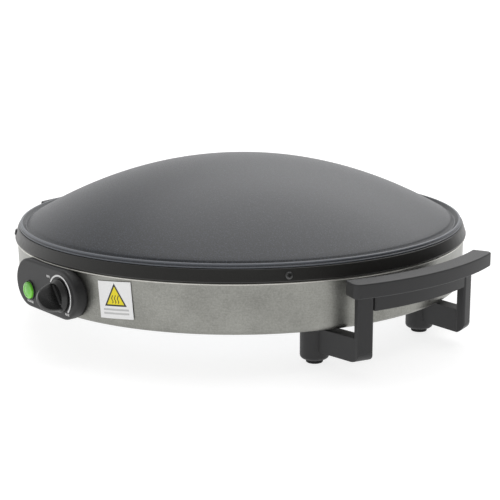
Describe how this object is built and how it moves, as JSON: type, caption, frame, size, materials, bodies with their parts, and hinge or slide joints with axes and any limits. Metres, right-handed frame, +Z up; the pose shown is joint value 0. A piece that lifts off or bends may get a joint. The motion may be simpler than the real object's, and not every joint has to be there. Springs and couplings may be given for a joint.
{
  "type": "electric griddle",
  "caption": "Round electric dome griddle with a convex non-stick plate, steel drum, dial thermostat, indicator lamp and side handles on legs.",
  "frame": {"origin": "centre of the footprint on the surface that the rubber feet stand on", "axes": "+Z up, the control housing faces -Y, the handles stand at +X and -X"},
  "size_m": [0.467, 0.4304, 0.138],
  "materials": {
    "non_stick": "satin charcoal non-stick coating, finely textured",
    "black_paint": "satin black enamel",
    "brushed_steel": "fine brushed stainless steel",
    "zinc_steel": "zinc-plated steel",
    "aluminised_steel": "bright aluminised sheet",
    "black_moulding": "fine-textured black heat-proof moulding",
    "gloss_black": "semi-gloss black plastic",
    "seal_rubber": "matt silicone rubber",
    "foot_rubber": "matt black rubber",
    "green_lens": "translucent green plastic",
    "brass": "plain brass",
    "ceramic": "unglazed ceramic",
    "element_sheath": "dull oxidised steel sheath",
    "black_screw": "black-plated steel",
    "label_paper": "matt printed label",
    "blue_lead": "silicone insulation",
    "brown_lead": "silicone insulation",
    "red_lead": "silicone insulation",
    "grey_lead": "silicone insulation"
  },
  "bodies": {
    "root": {"dome_plate": "non_stick", "skirt_ring": "black_paint", "base_drum": "brushed_steel", "bottom_cover": "zinc_steel", "handle_grip_right": "black_moulding", "handle_grip_left": "black_moulding", "control_housing": "black_moulding", "control_gasket": "seal_rubber", "lamp_lens": "green_lens", "lamp_bezel": "gloss_black", "lamp_body": "gloss_black", "thermostat_body": "zinc_steel", "thermostat_bracket": "zinc_steel", "thermostat_nut": "brass", "heat_reflector": "aluminised_steel", "heating_element": "element_sheath", "capillary_bulb": "brass", "bulb_clip": "zinc_steel", "capillary_tube": "brass", "terminal_block": "ceramic", "earth_screw": "brass", "thermal_fuse": "zinc_steel", "wire_neutral": "blue_lead", "wire_live": "brown_lead", "wire_load_front": "red_lead", "wire_load_rear": "red_lead", "wire_lamp": "grey_lead", "cord_gland": "seal_rubber", "heat_label": "label_paper", "skirt_screw_1": "black_screw", "cover_screw_1": "zinc_steel", "handle_leg_1": "black_moulding", "leg_screw_1": "zinc_steel", "rubber_foot_1": "foot_rubber", "reflector_post_1": "zinc_steel", "skirt_screw_2": "black_screw", "cover_screw_2": "zinc_steel", "handle_leg_2": "black_moulding", "leg_screw_2": "zinc_steel", "rubber_foot_2": "foot_rubber", "reflector_post_2": "zinc_steel", "skirt_screw_3": "black_screw", "cover_screw_3": "zinc_steel", "handle_leg_3": "black_moulding", "leg_screw_3": "zinc_steel", "rubber_foot_3": "foot_rubber", "reflector_post_3": "zinc_steel", "skirt_screw_4": "black_screw", "cover_screw_4": "zinc_steel", "handle_leg_4": "black_moulding", "leg_screw_4": "zinc_steel", "rubber_foot_4": "foot_rubber", "reflector_post_4": "zinc_steel", "element_terminal_1": "ceramic", "element_terminal_2": "ceramic", "element_clamp_1": "zinc_steel", "element_clamp_2": "zinc_steel", "element_clamp_3": "zinc_steel"},
    "dial": {"thermostat_knob": "gloss_black", "thermostat_shaft": "zinc_steel"}
  },
  "joints": [
    {"name": "knob_turn", "type": "hinge", "parent": "root", "child": "dial", "pos_m": [0.0228, -0.1954, 0.0515], "axis": [0, 1, 0], "range_deg": [-16, 172]}
  ]
}
